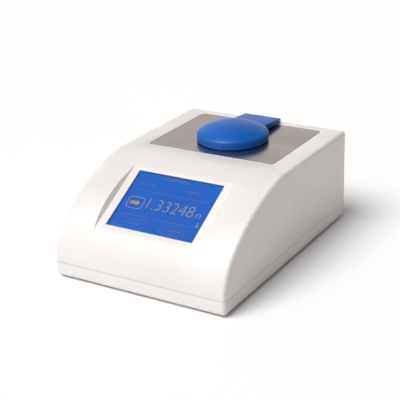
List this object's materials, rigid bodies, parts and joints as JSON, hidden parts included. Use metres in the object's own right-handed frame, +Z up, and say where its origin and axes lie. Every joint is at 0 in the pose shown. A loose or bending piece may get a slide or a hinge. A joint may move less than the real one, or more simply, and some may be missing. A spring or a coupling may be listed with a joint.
{
  "type": "benchtop automatic refractometer",
  "caption": "Benchtop automatic refractometer: curved white case, sloping touch display, steel deck, prism sample well under a hinged blue round lid, rear connector panel.",
  "frame": {"origin": "on the table, under the middle of the case", "axes": "+Z up, +X to the operator's right, -Y towards the operator (the display end)"},
  "size_m": [0.255, 0.35, 0.1562],
  "materials": {
    "housing_white": "moulded ABS, fine satin",
    "lid_blue": "moulded, satin gloss",
    "deck_steel": "brushed",
    "well_steel": "turned and polished",
    "zinc_screw": "zinc plated",
    "prism_glass": "polished",
    "touch_glass": "polished",
    "lcd_blue": "lit display",
    "black_rubber": "moulded",
    "seal_rubber": "moulded",
    "black_plastic": "moulded",
    "panel_paint": "powder coat",
    "machined_aluminium": "machined",
    "black_aluminium": "black anodised",
    "brass": "turned",
    "circuit_board": "solder mask",
    "ceramic": "fired ceramic",
    "ribbon_grey": "extruded",
    "lead_insulation": "extruded",
    "sheet_steel": "galvanised"
  },
  "bodies": {
    "case": {"base_tray": "housing_white", "rubber_feet": "black_rubber", "foot_screws": "zinc_screw", "case_screws": "zinc_screw", "upper_housing": "housing_white", "rear_frame": "housing_white", "display_gasket": "seal_rubber", "touch_glass": "touch_glass", "lcd_module": "lcd_blue", "display_bracket": "sheet_steel", "display_screws": "zinc_screw", "deck_plate": "deck_steel", "deck_clips": "sheet_steel", "sample_well": "well_steel", "well_screws": "zinc_screw", "prism_seal": "seal_rubber", "measuring_prism": "prism_glass", "prism_carrier": "brass", "temperature_probe": "well_steel", "optical_block": "machined_aluminium", "block_pillars": "machined_aluminium", "lamp_barrel": "black_aluminium", "collimator_lens": "prism_glass", "band_filter": "prism_glass", "lamp_board": "circuit_board", "sensor_barrel": "black_aluminium", "sensor_lens": "prism_glass", "sensor_board": "circuit_board", "hinge_lug": "lid_blue", "hinge_screws": "zinc_screw", "rear_panel": "panel_paint", "panel_screws": "zinc_screw", "power_inlet": "black_plastic", "inlet_pins": "brass", "rocker_frame": "black_plastic", "serial_port": "sheet_steel", "jack_posts": "zinc_screw", "usb_port": "sheet_steel", "fan_frame": "black_plastic", "fan_screws": "zinc_screw", "peltier_module": "ceramic", "heat_sink": "machined_aluminium", "main_board": "circuit_board", "board_posts": "brass", "board_screws": "zinc_screw", "display_cable": "ribbon_grey", "sensor_cable": "ribbon_grey", "power_supply": "circuit_board", "mains_leads": "lead_insulation"},
    "lid": {"lid_cover": "lid_blue", "lid_arm": "lid_blue", "lid_pad": "black_plastic", "lid_seal": "seal_rubber", "lid_screws": "zinc_screw", "pad_screw": "zinc_screw", "hinge_pin": "well_steel"},
    "mains_switch": {"mains_rocker": "black_plastic"},
    "fuse_tray": {"fuse_drawer": "black_plastic"},
    "fan": {"fan_rotor": "black_plastic"}
  },
  "joints": [
    {"name": "lid_hinge", "type": "hinge", "parent": "case", "child": "lid", "pos_m": [0, 0.1635, 0.1344], "axis": [-1, 0, 0], "range_deg": [0, 105]},
    {"name": "mains_rocker_tilt", "type": "hinge", "parent": "case", "child": "mains_switch", "pos_m": [0.028, 0.165, 0.0625], "axis": [1, 0, 0], "range_deg": [0, 18]},
    {"name": "fan_spin", "type": "hinge", "parent": "case", "child": "fan", "pos_m": [-0.062, 0.156, 0.0745], "axis": [0, 1, 0], "continuous": true},
    {"name": "fuse_drawer_slide", "type": "slide", "parent": "case", "child": "fuse_tray", "axis": [0, 1, 0], "range_m": [0, 0.018]}
  ]
}
